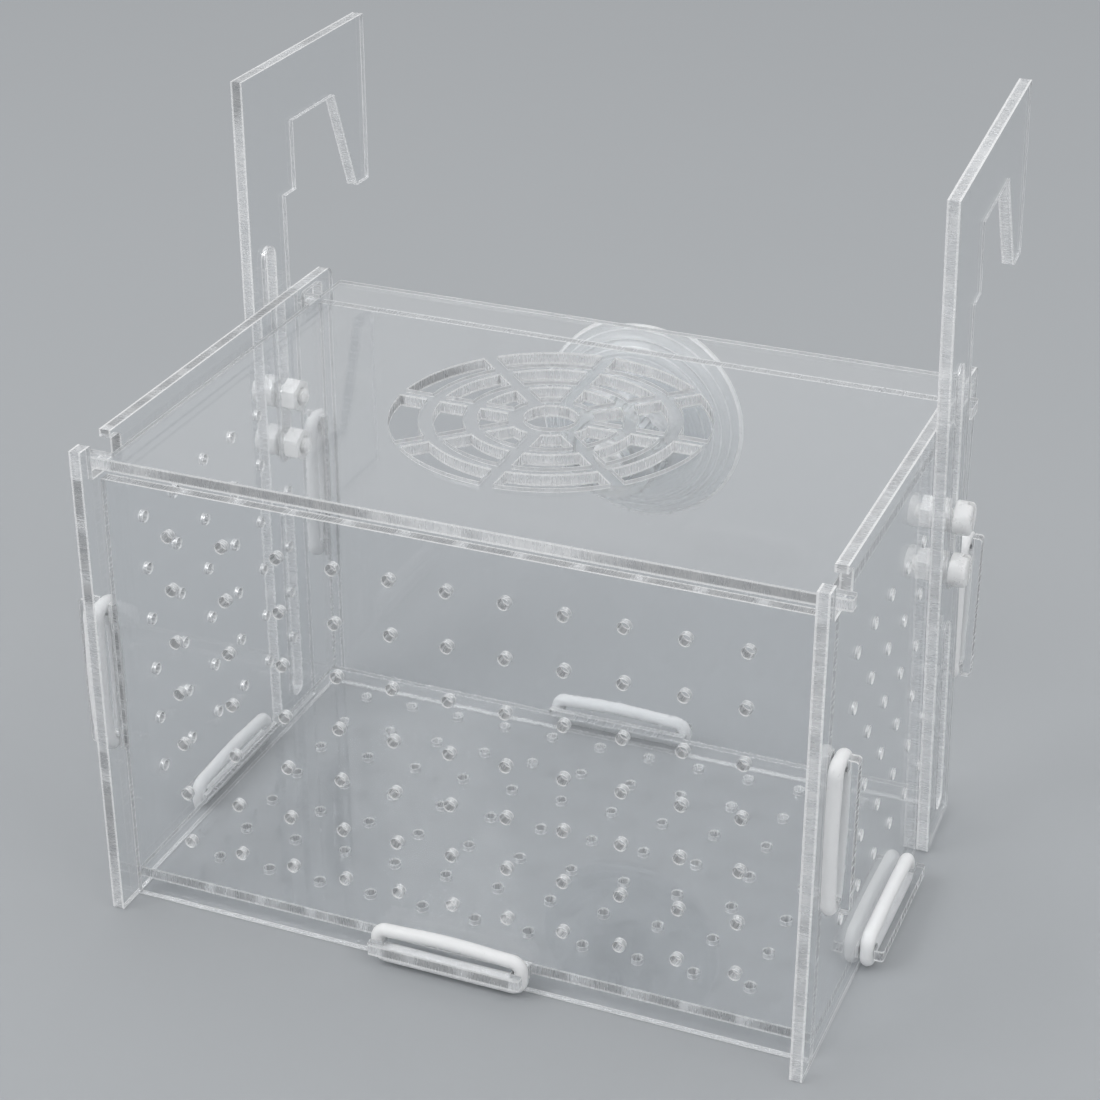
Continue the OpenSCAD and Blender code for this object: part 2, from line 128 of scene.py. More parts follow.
# name, place, side of the square and share of the key light's power
LAMPS = (("Key", (-0.75, -0.9, 1.15), 0.7, 1.4), ("Fill", (0.75, -0.3, 0.95), 0.6, 0.5),
         ("Top", (-0.1, 0.25, 1.25), 0.7, 0.3))
LAMP_TARGET = (0.0, 0.0, 0.06)
SENSOR_WIDTH = 36.0
CAMERA_PLACE, CAMERA_TURN = (0.17025, -0.425165, 0.30663), (1.0888, 0.0, 0.3873)
BACKDROP_TOP, SKY_START = 0.16, 0.42  # heights of a view's direction


# ---------- settings ----------

def colour_setting(name, description, default):
    """A colour among the add-on's settings."""
    return bpy.props.FloatVectorProperty(
        name=name, description=description, subtype="COLOR", size=3, min=0.0, max=1.0,
        default=default)


def length_setting(name, description, default):
    """A length in metres among the add-on's settings."""
    return bpy.props.FloatProperty(
        name=name, description=description, default=default, min=0.0, subtype="DISTANCE",
        unit="LENGTH", precision=5)


class BreedingBoxFinish(bpy.types.PropertyGroup):
    """Colours and fine sizes of the box's finishes"""
    acrylic: colour_setting(
        "Acrylic", "Tint of the clear plates", (0.984, 0.990, 0.996))
    # the light colour of the cut edges also paints their highlight lines along the borders
    edge_light: colour_setting(
        "Cut edge, light", "Light grain and border lines of the frosted cut edges",
        (0.985, 0.988, 0.99))
    edge_dark: colour_setting(
        "Cut edge, dark", "Grey grain of the frosted cut edges", (0.63, 0.65, 0.675))
    silicone: colour_setting(
        "Silicone", "Milky silicone of the rings", (0.92, 0.93, 0.935))
    nylon: colour_setting(
        "Nylon", "Natural nylon of the screws and nuts", (0.93, 0.93, 0.92))
    vinyl: colour_setting(
        "Vinyl", "Clear soft vinyl of the suction cup", (0.87, 0.90, 0.92))


class BreedingBoxShapes(bpy.types.PropertyGroup):
    """Fine shapes of the rings, screws, nuts and suction cup"""
    ring_bow: length_setting(
        "Ring bow", "How far a ring's strand bows out at its middle", 0.6 * MM)
    head_height: length_setting("Screw head", "Height of a clamp screw's head", 3.6 * MM)
    head_round: length_setting("Head rounding", "Rounding of the head's outer edge", 0.8 * MM)
    shank: length_setting("Screw shank", "Diameter of the thread over its crests", 3.5 * MM)
    pitch: length_setting("Thread pitch", "Rise of the thread in one turn", 0.7 * MM)
    thread_depth: length_setting("Thread depth", "Depth of the thread", 0.36 * MM)
    groove_width: length_setting("Groove width", "Width of the driver groove", 1.2 * MM)
    groove_depth: length_setting("Groove depth", "Depth of the driver groove", 1.4 * MM)
    nut_chamfer: length_setting(
        "Nut chamfer", "How far the turned faces of a nut reach beyond its flats", 0.1 * MM)
    cup_depth: length_setting(
        "Cup depth", "Depth of the suction cup from the back panel to its rim", 11.6 * MM)
    cup_ridge: length_setting(
        "Cup ridges", "Height of the fine ridges round the suction cup", 0.28 * MM)
    cup_seam: length_setting(
        "Cup seam", "Height of the mould seam across the suction cup", 0.12 * MM)
    neck_pitch: length_setting(
        "Neck pitch", "Rise of the thread on the cup's neck in one turn", 1.2 * MM)
    neck_thread: length_setting("Neck thread", "Depth of the thread on the cup's neck", 0.45 * MM)
    groove_round: length_setting(
        "Nut grooves", "Radius of the grooves between the ribs of the cup's nut", 0.9 * MM)
    dish: length_setting("Nut dish", "Depth of the dish in the face of the cup's nut", 1.2 * MM)
    ribs: bpy.props.IntProperty(
        name="Nut ribs", description="Number of ribs round the cup's nut", default=24, min=8,
        max=48)


class BreedingBoxStudio(bpy.types.PropertyGroup):
    """Floor, light and camera of the studio"""
    floor: colour_setting("Floor", "Colour of the floor and the backdrop", (0.41, 0.425, 0.44))
    key_power: bpy.props.FloatProperty(
        name="Key light", description="Power of the key light", default=4.0, min=0.0,
        unit="POWER")
    sky: bpy.props.FloatProperty(
        name="Sky", description="Strength of the even light from all round", default=0.75,
        min=0.0)
    lens: bpy.props.FloatProperty(
        name="Lens", description="Focal length of the camera", default=81.28, min=1.0,
        unit="CAMERA")


# ---------- shader groups ----------

def group(name, inputs, outputs):
    """New node group with named sockets; returns it with its input and output nodes."""
    tree = bpy.data.node_groups.new(name, "ShaderNodeTree")
    for label, kind, value in inputs:
        socket = tree.interface.new_socket(label, in_out="INPUT", socket_type=kind)
        socket.default_value = value
    for label, kind in outputs:
        tree.interface.new_socket(label, in_out="OUTPUT", socket_type=kind)
    return tree, tree.nodes.new("NodeGroupInput"), tree.nodes.new("NodeGroupOutput")


def math_node(tree, operation, first, second=None, third=None, clamp=False):
    """Maths node; each value is a number or the output of another node."""
    node = tree.nodes.new("ShaderNodeMath")
    node.operation, node.use_clamp = operation, clamp
    for socket, value in zip(node.inputs, (first, second, third)):
        if isinstance(value, (int, float)):
            socket.default_value = value
        elif value is not None:
            tree.links.new(value, socket)
    return node.outputs[0]


def vector_node(tree, operation, first, second=None, scale=None):
    """Vector maths node; first and second are tuples or outputs, scale is an output."""
    node = tree.nodes.new("ShaderNodeVectorMath")
    node.operation = operation
    for socket, value in zip(node.inputs, (first, second)):
        if isinstance(value, tuple):
            socket.default_value = value
        elif value is not None:
            tree.links.new(value, socket)
    if scale is not None:
        tree.links.new(scale, node.inputs["Scale"])
    return node.outputs["Value"] if operation == "DOT_PRODUCT" else node.outputs["Vector"]


def noise_node(tree, place, scale, detail=2.0, roughness=0.5, distortion=0.0):
    """Noise in place, from 0 to 1."""
    node = tree.nodes.new("ShaderNodeTexNoise")
    tree.links.new(place, node.inputs["Vector"])
    node.inputs["Scale"].default_value = scale
    node.inputs["Detail"].default_value = detail
    node.inputs["Roughness"].default_value = roughness
    node.inputs["Distortion"].default_value = distortion
    return node.outputs["Fac"]


def spread(tree, value, low, high, to_low=0.0, to_high=1.0, smooth=False):
    """Maps low..high of a value to to_low..to_high, held at both ends."""
    node = tree.nodes.new("ShaderNodeMapRange")
    node.interpolation_type = "SMOOTHSTEP" if smooth else "LINEAR"
    tree.links.new(value, node.inputs["Value"])
    for label, number in (("From Min", low), ("From Max", high), ("To Min", to_low),
                          ("To Max", to_high)):
        node.inputs[label].default_value = number
    return node.outputs["Result"]


def colour_mix(tree, factor, first, second):
    """Mix of two colours, each a tuple or the output of another node."""
    node = tree.nodes.new("ShaderNodeMix")
    node.data_type = "RGBA"
    tree.links.new(factor, node.inputs["Factor"])
    for socket, value in ((node.inputs[6], first), (node.inputs[7], second)):
        if isinstance(value, tuple):
            socket.default_value = value
        else:
            tree.links.new(value, socket)
    return node.outputs[2]


def cut_edge_group():
    """Frosted cut edge: painted highlight lines along its borders, and streaks across the plate's
    thickness.
    """
    tree, given, out = group(
        "Cut edge",
        (("Across", "NodeSocketVector", (1.0, 0.0, 0.0)), ("Depth", "NodeSocketFloat", 0.0),
         ("Share", "NodeSocketFloat", 0.0), ("Dark", "NodeSocketColor", (0, 0, 0, 1)),
         ("Light", "NodeSocketColor", (1, 1, 1, 1))),
        (("Color", "NodeSocketColor"), ("Roughness", "NodeSocketFloat"),
         ("Height", "NodeSocketFloat")))
    place = tree.nodes.new("ShaderNodeTexCoord").outputs["Object"]
    # painted highlight: a light band along each border of the cut face
    rim = spread(tree, given.outputs["Share"], *PAINTED_BORDER_HIGHLIGHT, smooth=True)
    # the pattern is drawn out along the thickness, as the cutter's beam leaves it
    flat = vector_node(tree, "SUBTRACT", place, vector_node(
        tree, "SCALE", given.outputs["Across"],
        scale=math_node(tree, "MULTIPLY", given.outputs["Depth"], STREAK_STRETCH)))
    streak = noise_node(tree, flat, STREAK_SCALE, roughness=0.6)
    grain = noise_node(tree, place, GRAIN_SCALE, detail=3.0, roughness=0.7)
    cloud = noise_node(tree, flat, EDGE_CLOUD_SCALE)
    light = math_node(tree, "MULTIPLY", spread(tree, grain, 0.35, 0.65), GRAIN_SHARE)
    light = math_node(tree, "MULTIPLY_ADD", spread(tree, streak, 0.42, 0.62), STREAK_SHARE, light)
    light = math_node(tree, "MULTIPLY_ADD", spread(tree, cloud, 0.42, 0.62), EDGE_CLOUD_SHARE,
                      light)
    light = math_node(tree, "ADD", light, rim, clamp=True)
    colour = colour_mix(tree, light, given.outputs["Dark"], given.outputs["Light"])
    tree.links.new(colour, out.inputs["Color"])
    tree.links.new(spread(tree, streak, 0.3, 0.7, 0.34, 0.16), out.inputs["Roughness"])
    tree.links.new(streak, out.inputs["Height"])
    return tree


def handled_face_group():
    """Polished face: faint smears in the gloss, fine scratches and a few dust specks."""
    tree, given, out = group(
        "Polished face",
        (("Tint", "NodeSocketColor", (1, 1, 1, 1)), ("Gloss", "NodeSocketFloat", 0.003),
         ("Smear", "NodeSocketFloat", 0.012)),
        (("Color", "NodeSocketColor"), ("Roughness", "NodeSocketFloat"),
         ("Height", "NodeSocketFloat")))
    place = tree.nodes.new("ShaderNodeTexCoord").outputs["Object"]
    smear = noise_node(tree, place, SMEAR_SCALE, detail=4.0, distortion=0.8)
    smear = spread(tree, smear, 0.45, 0.75)
    fine = noise_node(tree, place, SCRATCH_SCALE, detail=5.0, roughness=0.7)
    rough = math_node(tree, "MULTIPLY_ADD", smear, given.outputs["Smear"],
                      given.outputs["Gloss"])
    speck = spread(tree, noise_node(tree, place, DUST_SCALE, detail=0.0), 0.79, 0.84)
    rough = math_node(tree, "MULTIPLY_ADD", speck, 0.12, rough)
    colour = colour_mix(tree, math_node(tree, "MULTIPLY", smear, 0.25),
                        given.outputs["Tint"], GREASE)
    tree.links.new(colour, out.inputs["Color"])
    tree.links.new(rough, out.inputs["Roughness"])
    tree.links.new(fine, out.inputs["Height"])
    return tree


def moulded_group():
    """Moulded surface: a soft cloudiness in the colour, fine pitting and uneven gloss."""
    tree, given, out = group(
        "Moulded surface",
        (("Base", "NodeSocketColor", (1, 1, 1, 1)), ("Cloud", "NodeSocketColor", (1, 1, 1, 1)),
         ("Grain", "NodeSocketFloat", 1.0), ("Gloss", "NodeSocketFloat", 0.3)),
        (("Color", "NodeSocketColor"), ("Roughness", "NodeSocketFloat"),
         ("Height", "NodeSocketFloat")))
    place = tree.nodes.new("ShaderNodeTexCoord").outputs["Object"]
    sized = vector_node(tree, "SCALE", place, scale=given.outputs["Grain"])
    cloud = noise_node(tree, sized, CLOUD_SCALE, detail=4.0, roughness=0.6)
    cloud = spread(tree, cloud, 0.35, 0.7)
    pits = noise_node(tree, sized, PIT_SCALE)
    colour = colour_mix(tree, cloud, given.outputs["Base"], given.outputs["Cloud"])
    rough = math_node(tree, "MULTIPLY_ADD", cloud, 0.12, given.outputs["Gloss"])
    rough = math_node(tree, "MULTIPLY_ADD", spread(tree, pits, 0.3, 0.7), 0.06, rough)
    tree.links.new(colour, out.inputs["Color"])
    tree.links.new(rough, out.inputs["Roughness"])
    tree.links.new(math_node(tree, "MULTIPLY_ADD", cloud, 0.6, pits), out.inputs["Height"])
    return tree


def the_group(name, maker):
    """The node group of that name, made at its first use."""
    return bpy.data.node_groups.get(name) or maker()


# ---------- materials ----------

def new_material(name):
    """Empty material; returns it with its tree and its output node."""
    material = bpy.data.materials.new(name)
    material.use_nodes = True
    tree = material.node_tree
    tree.nodes.clear()
    return material, tree, tree.nodes.new("ShaderNodeOutputMaterial")


def place_group(tree, group_tree, **values):
    """Puts a node group into a tree and sets its inputs."""
    node = tree.nodes.new("ShaderNodeGroup")
    node.node_tree = group_tree
    for label, value in values.items():
        node.inputs[label].default_value = value
    return node


def rgba(colour):
    return (*colour, 1.0)


def bump(tree, height, distance):
    """Normal of a relief with that height map and depth in metres."""
    node = tree.nodes.new("ShaderNodeBump")
    node.inputs["Strength"].default_value = 1.0
    node.inputs["Distance"].default_value = distance
    tree.links.new(height, node.inputs["Height"])
    return node.outputs["Normal"]


def principled(tree, surface, distance, **values):
    """Principled shader fed by a surface group's colour, roughness and height."""
    shader = tree.nodes.new("ShaderNodeBsdfPrincipled")
    tree.links.new(surface.outputs["Color"], shader.inputs["Base Color"])
    tree.links.new(surface.outputs["Roughness"], shader.inputs["Roughness"])
    tree.links.new(bump(tree, surface.outputs["Height"], distance), shader.inputs["Normal"])
    for label, value in values.items():
        shader.inputs[label.replace("_", " ")].default_value = value
    return shader.outputs[0]


def mix_shader(tree, factor, first, second):
    """Mix of two shaders; the factor is a number or the output of another node."""
    node = tree.nodes.new("ShaderNodeMixShader")
    if isinstance(factor, (int, float)):
        node.inputs[0].default_value = factor
    else:
        tree.links.new(factor, node.inputs[0])
    tree.links.new(first, node.inputs[1])
    tree.links.new(second, node.inputs[2])
    return node.outputs[0]


def lamps_through(tree, shader, tint):
    """Lets the lamps shine through a clear shader, so that it casts only a faint shadow."""
    path = tree.nodes.new("ShaderNodeLightPath")
    clear = tree.nodes.new("ShaderNodeBsdfTransparent")
    clear.inputs["Color"].default_value = tint
    return mix_shader(tree, path.outputs["Is Shadow Ray"], shader, clear.outputs[0])


def translucent(tree, colour):
    """Shader that glows with the light from behind."""
    node = tree.nodes.new("ShaderNodeBsdfTranslucent")
    node.inputs["Color"].default_value = colour
    return node.outputs[0]


def along_thickness(tree, across, middle, thickness):
    """Depth across a plate, its share of the half thickness, and a mask of the cut faces."""
    place = tree.nodes.new("ShaderNodeTexCoord")
    faces = math_node(tree, "ABSOLUTE", vector_node(
        tree, "DOT_PRODUCT", place.outputs["Normal"], across))
    depth = vector_node(tree, "DOT_PRODUCT", place.outputs["Object"], across)
    off_middle = math_node(tree, "ABSOLUTE", math_node(tree, "SUBTRACT", depth, middle))
    share = math_node(tree, "DIVIDE", off_middle, thickness / 2)
    return depth, share, math_node(tree, "LESS_THAN", faces, CUT_FACE)


def acrylic(node_name, finish):
    """Clear acrylic of one plate: glassy faces, and cut edges that are part glass, part frost."""
    low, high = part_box(node_name)
    size = [high[i] - low[i] for i in range(3)]
    axis = size.index(min(size))
    across = tuple(float(i == axis) for i in range(3))
    material, tree, out = new_material("Acrylic_" + node_name)
    face = place_group(tree, the_group("Polished face", handled_face_group),
                       Tint=rgba(finish.acrylic))
    glass = principled(tree, face, FACE_RELIEF, IOR=ACRYLIC_IOR, Transmission_Weight=1.0)
    glass = lamps_through(tree, glass, FACE_SHADE)
    depth, share, cut = along_thickness(tree, across, (low[axis] + high[axis]) / 2, size[axis])

    def edge_surface(dark, light):
        edge = place_group(tree, the_group("Cut edge", cut_edge_group), Across=across,
                           Dark=dark, Light=light)
        tree.links.new(depth, edge.inputs["Depth"])
        tree.links.new(share, edge.inputs["Share"])
        return edge

    # both the frost and the core carry the painted highlight lines along the borders of the cut
    # face
    frost = principled(tree, edge_surface(rgba(finish.edge_dark), rgba(finish.edge_light)),
                       EDGE_RELIEF, IOR=ACRYLIC_IOR)
    frost = mix_shader(tree, GLOW_SHARE, frost, translucent(tree, FROST_GLOW))
    core = principled(tree, edge_surface(CORE_DARK, CORE_LIGHT), EDGE_RELIEF, IOR=ACRYLIC_IOR,
                      Transmission_Weight=1.0)
    core = lamps_through(tree, core, CORE_SHADE)
    edge = mix_shader(tree, spread(tree, share, *CORE_BORDER, *CORE_SHARE), frost, core)
    tree.links.new(mix_shader(tree, cut, glass, edge), out.inputs["Surface"])
    return material


def silicone(finish):
    """Milky silicone of the rings."""
    material, tree, out = new_material("Milky silicone")
    surface = place_group(tree, the_group("Moulded surface", moulded_group),
                          Base=rgba(finish.silicone), Cloud=SILICONE_CLOUD,
                          Grain=0.8, Gloss=0.26)
    solid = principled(tree, surface, SILICONE_RELIEF, IOR=SILICONE_IOR,
                       Subsurface_Weight=0.7, Subsurface_Radius=EVEN,
                       Subsurface_Scale=1.2 * MM, Transmission_Weight=0.12)
    tree.links.new(solid, out.inputs["Surface"])
    return material


def nylon(finish):
    """Natural nylon, made once for the screws and the nuts."""
    ready = bpy.data.materials.get("Natural nylon")
    if ready:
        return ready
    material, tree, out = new_material("Natural nylon")
    surface = place_group(tree, the_group("Moulded surface", moulded_group),
                          Base=rgba(finish.nylon), Cloud=NYLON_CLOUD,
                          Grain=1.4, Gloss=0.22)
    solid = principled(tree, surface, NYLON_RELIEF, IOR=NYLON_IOR,
                       Subsurface_Weight=0.6, Subsurface_Radius=EVEN,
                       Subsurface_Scale=1.2 * MM, Transmission_Weight=0.12)
    tree.links.new(solid, out.inputs["Surface"])
    return material


def cloud_and_highlight_mask(tree, middle, radius):
    """Mask of a round piece turned about Y: a milky middle that is partly real cloudiness and
    partly painted highlight, and painted highlight lines on the rim and in faint rings between.
    """
    place = tree.nodes.new("ShaderNodeTexCoord").outputs["Object"]
    arm = vector_node(tree, "MULTIPLY", vector_node(tree, "SUBTRACT", place, middle),
                      (1.0, 0.0, 1.0))
    reach = tree.nodes.new("ShaderNodeVectorMath")
    reach.operation = "LENGTH"
    tree.links.new(arm, reach.inputs[0])
    share = math_node(tree, "DIVIDE", reach.outputs["Value"], radius)
    uneven = noise_node(tree, place, MILK_SCALE, detail=3.0, distortion=0.9)
    # milky middle, partly real cloudiness and partly painted highlight
    core = math_node(tree, "MULTIPLY", spread(tree, share, *MILK_AND_HIGHLIGHT_MIDDLE, smooth=True),
                     spread(tree, uneven, 0.36, 0.56, 0.45, 1.0))
    # painted highlight line round the rim
    rim = spread(tree, share, *RIM_HIGHLIGHT, 0.16, 0.9, smooth=True)
    # painted highlight in faint rings
    wave = math_node(tree, "SINE", math_node(tree, "MULTIPLY", share, RING_WAVES))
    rings = math_node(tree, "MULTIPLY", spread(tree, wave, 0.7, 0.95, 0.05, 0.4),
                      spread(tree, share, *RING_HIGHLIGHTS))
    return math_node(tree, "ADD", math_node(tree, "MAXIMUM", core, rim), rings, clamp=True)


def vinyl(finish):
    """Soft vinyl: clear in the thin skirt; milky in the thick middle, partly real cloudiness and
    partly painted highlight; painted highlight lines on the rims and in faint rings.
    """
    low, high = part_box("suction_cup")
    middle = ((low[0] + high[0]) / 2, 0.0, (low[2] + high[2]) / 2)
    material, tree, out = new_material("Clear vinyl")
    surface = place_group(tree, the_group("Moulded surface", moulded_group),
                          Base=rgba(finish.vinyl), Cloud=VINYL_CLOUD, Grain=0.5, Gloss=0.08)
    clear = principled(tree, surface, VINYL_RELIEF, IOR=VINYL_IOR, Transmission_Weight=1.0)
    clear = lamps_through(tree, clear, VINYL_SHADE)
    # milky shader: partly real cloudiness, partly painted highlight on the middle, rim and rings
    milk_and_highlight_surface = place_group(tree, the_group("Moulded surface", moulded_group),
                        Base=MILK_AND_HIGHLIGHT_BASE, Cloud=MILK_AND_HIGHLIGHT_CLOUD, Grain=0.5, Gloss=0.1)
    cloudy = principled(tree, milk_and_highlight_surface, VINYL_RELIEF, IOR=VINYL_IOR, Subsurface_Weight=0.5,
                        Subsurface_Radius=EVEN, Subsurface_Scale=2.0 * MM)
    mask = cloud_and_highlight_mask(tree, middle, (high[0] - low[0]) / 2)
    tree.links.new(mix_shader(tree, mask, clear, cloudy), out.inputs["Surface"])
    return material


def clear_plastic(finish):
    """Clear moulded plastic of the cup's nut, a little cloudy inside."""
    material, tree, out = new_material("Clear moulded plastic")
    surface = place_group(tree, the_group("Moulded surface", moulded_group),
                          Base=rgba(finish.vinyl), Cloud=NUT_CLOUD, Grain=0.8, Gloss=0.04)
    clear = principled(tree, surface, NUT_RELIEF, IOR=ACRYLIC_IOR, Transmission_Weight=1.0)
    clear = lamps_through(tree, clear, NUT_SHADE)
    cloudy = principled(tree, surface, NUT_RELIEF, IOR=ACRYLIC_IOR, Subsurface_Weight=0.5,
                        Subsurface_Radius=EVEN, Subsurface_Scale=2.0 * MM)
    tree.links.new(mix_shader(tree, NUT_CLOUDY, clear, cloudy), out.inputs["Surface"])
    return material


def finish_node(name, material):
    """Gives a construction node its finish."""
    for slot in NODES[name].material_slots:
        slot.link = "DATA"
        slot.material = material


# ---------- shapes ----------

def show(name, data, material, node):
    """Shows a mesh or curve in the place of a construction node."""
    data.materials.append(material)
    piece = bpy.data.objects.new(name, data)
    bpy.context.collection.objects.link(piece)
    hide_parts(node)
    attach(piece, BODY[node])
    return piece


def to_mesh(name, shape, sharp_angle, merge=MERGE):
    """Closes a bmesh and turns it into a smooth mesh with sharp edges over an angle."""
    bmesh.ops.remove_doubles(shape, verts=shape.verts, dist=merge)
    bmesh.ops.recalc_face_normals(shape, faces=shape.faces)
    mesh = bpy.data.meshes.new(name)
    shape.to_mesh(mesh)
    shape.free()
    mesh.shade_smooth()
    mesh.set_sharp_from_angle(angle=math.radians(sharp_angle))
    return mesh


def spun(profile, centre, axis, arm, steps):
    """Spins a profile of (radius, along) pairs round an axis; arm points to its radius."""
    shape = bmesh.new()
    verts = [shape.verts.new(centre + axis * along + arm * radius)
             for radius, along in profile]
    for first, second in zip(verts, verts[1:]):
        shape.edges.new((first, second))
    bmesh.ops.spin(shape, geom=shape.verts[:] + shape.edges[:], cent=centre, axis=axis,
                   dvec=(0.0, 0.0, 0.0), angle=2 * math.pi, steps=steps, use_merge=True)
    return shape


def arc(centre, radius, start, end, steps):
    """Points of an arc in the profile's plane, angles in degrees."""
    angles = [math.radians(start + (end - start) * i / steps) for i in range(steps + 1)]
    return [(centre[0] + radius * math.cos(a), centre[1] + radius * math.sin(a))
            for a in angles]


def box_centre(node):
    """Middle and size of a construction node's box."""
    low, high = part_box(node)
    size = [high[i] - low[i] for i in range(3)]
    return Vector([(low[i] + high[i]) / 2 for i in range(3)]), size


def ring_line(long_half, short_half, bend, bows):
    """Closed middle line of a stretched ring as (along, across) pairs."""
    reach, tight, line = long_half - bend, short_half - bend, []
    for side, bow in ((1, bows[1]), (-1, bows[0])):
        strand = [reach * (1 - 2 * i / STRAND_STEPS) for i in range(STRAND_STEPS + 1)]
        half = [(u, short_half + bow * max(0.0, math.cos(math.pi / 2 * u / reach)) ** 1.4)
                for u in strand]
        half += arc((-reach, tight), bend, 90, 180, BEND_STEPS)[1:-1]
        half += [(-long_half, tight * (1 - 2 * i / END_STEPS)) for i in range(END_STEPS + 1)]
        half += arc((-reach, -tight), bend, 180, 270, BEND_STEPS)[1:-1]
        line += [(u * side, v * side) for u, v in half]
    return line


def silicone_ring(node, bow, material):
    """Ring of soft cord stretched round a tab: its strands bow out and thin in the middle."""
    centre, size = box_centre(node)
    deep, across, along = sorted(range(3), key=lambda i: size[i])
    cord = size[deep]
    stands_low = across == 2  # its lower strand lies close above what the box stands on
    bows = (0.0 if stands_low else bow, bow)
    line = ring_line((size[along] - cord) / 2, (size[across] - cord) / 2, RING_BEND, bows)
    number = RINGS.index(node)  # each ring lies and thins a little differently
    name = "Silicone_" + node
    data = bpy.data.curves.new(name, "CURVE")
    data.dimensions = "3D"
    data.bevel_depth, data.bevel_resolution = cord / 2, 6
    spline = data.splines.new("POLY")
    spline.points.add(len(line) - 1)
    spline.use_cyclic_u = True
    for i, (point, (u, v)) in enumerate(zip(spline.points, line)):
        place = centre.copy()
        place[along] += u
        place[across] += v
        turn = 2 * math.pi * i / len(line)
        place[deep] += RING_SWAY * math.sin(2 * turn + number)
        point.co = (*place, 1.0)
        # the stretched cord is thinnest in the middle of its strands
        thinning = 0.03 * math.cos(math.pi * u / size[along])
        point.radius = 0.965 - thinning + 0.008 * math.sin(3 * turn + 1.7 * number)
    return show(name, data, material, node)


def thread_cut(full, pitch, along, past_start, turn):
    """What a thread takes off at one place of its shank; it fades in over its first turn."""
    wave = abs(2 * ((along / pitch + turn) % 1.0) - 1)
    fade = min(1.0, past_start / pitch)
    return full * fade * min(1.0, THREAD_FLANK * wave)


def clamp_screw(node, shapes, material):
    """Screw with a rounded, grooved head and a threaded shank."""
    centre, size = box_centre(node)
    side = 1.0 if centre.x > 0 else -1.0
    axis, arm = Vector((-side, 0.0, 0.0)), Vector((0.0, 1.0, 0.0))
    start = centre - axis * (size[0] / 2)
    head, crest, length = size[1] / 2, shapes.shank / 2, size[0]
    round_r, tall, under = shapes.head_round, shapes.head_height, 0.2 * MM
    tip = 0.5 * MM
    profile = [(0.0, 0.0)]
    profile += arc((head - round_r, round_r), round_r, -90, 0, 8)
    profile += [(head, tall - under), (head - under, tall), (crest, tall)]
    step = shapes.pitch / THREAD_STEPS
    count = int((length - tip - tall) / step)
    profile += [(crest, tall + step * i) for i in range(1, count + 1)]
    profile += [(crest, length - tip), (crest - tip, length), (0.0, length)]
    shape = spun(profile, start, axis, arm, 40)
    for vert in shape.verts:
        offset = vert.co - start
        along = offset.dot(axis)
        out = offset - axis * along
        if tall + step < along and out.length > 0.8 * (crest - tip):
            turn = math.atan2(out.z, out.y) / (2 * math.pi)
            vert.co -= thread_cut(out.normalized() * shapes.thread_depth, shapes.pitch, along,
                                  along - tall, turn)
    mesh = to_mesh("Screw", shape, 40)
    cutter_shape = bmesh.new()
    bmesh.ops.create_cube(cutter_shape, size=1.0)
    bmesh.ops.scale(cutter_shape, verts=cutter_shape.verts,
                    vec=(2 * shapes.groove_depth, shapes.groove_width, 3 * head))
    bmesh.ops.translate(cutter_shape, verts=cutter_shape.verts, vec=start)
    cutter_mesh = bpy.data.meshes.new("Groove")
    cutter_shape.to_mesh(cutter_mesh)
    cutter_shape.free()
    whole, cutter = (bpy.data.objects.new("Blank", mesh),
                     bpy.data.objects.new("Groove", cutter_mesh))
    for each in (whole, cutter):
        bpy.context.collection.objects.link(each)
    cut = whole.modifiers.new("Groove", "BOOLEAN")
    cut.operation, cut.solver, cut.object = "DIFFERENCE", "EXACT", cutter
    finished = bpy.data.meshes.new_from_object(
        whole.evaluated_get(bpy.context.evaluated_depsgraph_get()))
    finished.set_sharp_from_angle(angle=math.radians(40))
    for each in (whole, cutter):
        bpy.data.objects.remove(each)
    for each in (mesh, cutter_mesh):
        bpy.data.meshes.remove(each)
    finished.name = "Nylon_" + node
    return show("Nylon_" + node, finished, material, node)


def clamp_nut(node, shapes, material):
    """Six-sided nut with turned faces and a countersunk hole."""
    centre, size = box_centre(node)
    axis, arm = Vector((1.0, 0.0, 0.0)), Vector((0.0, 1.0, 0.0))
    half, flat = size[0] / 2, size[1] / 2
    hole, sink, corner = shapes.shank / 2 + 0.05 * MM, 0.3 * MM, flat / math.cos(math.pi / 6)
    turned, chamfer = flat + shapes.nut_chamfer, math.radians(30)
    profile = [(hole, -half + sink), (hole + sink, -half), (turned, -half), (corner, -half),
               (corner, half), (turned, half), (hole + sink, half), (hole, half - sink),
               (hole, -half + sink)]
    shape = spun(profile, centre, axis, arm, 72)
    for vert in shape.verts:
        offset = vert.co - centre
        along = offset.dot(axis)
        out = offset - axis * along
        reach = out.length
        if reach > flat:
            angle = math.atan2(out.z, out.y)
            off_flat = (angle + math.pi / 6) % (math.pi / 3) - math.pi / 6
            edge = flat / math.cos(off_flat)
            if reach > turned + 0.01 * MM:
                fall = max(0.0, edge - turned) * math.tan(chamfer)
                vert.co = centre + out.normalized() * edge \
                    + axis * math.copysign(half - fall, along)
            else:
                vert.co = centre + out.normalized() * min(edge, turned) + axis * along
    mesh = to_mesh("Nylon_" + node, shape, 25, merge=NUT_MERGE)
    piece = show("Nylon_" + node, mesh, material, node)
    soft = piece.modifiers.new("Edges", "BEVEL")
    soft.width, soft.segments, soft.limit_method = 0.08 * MM, 2, "ANGLE"
    soft.angle_limit = math.radians(25)
    return piece


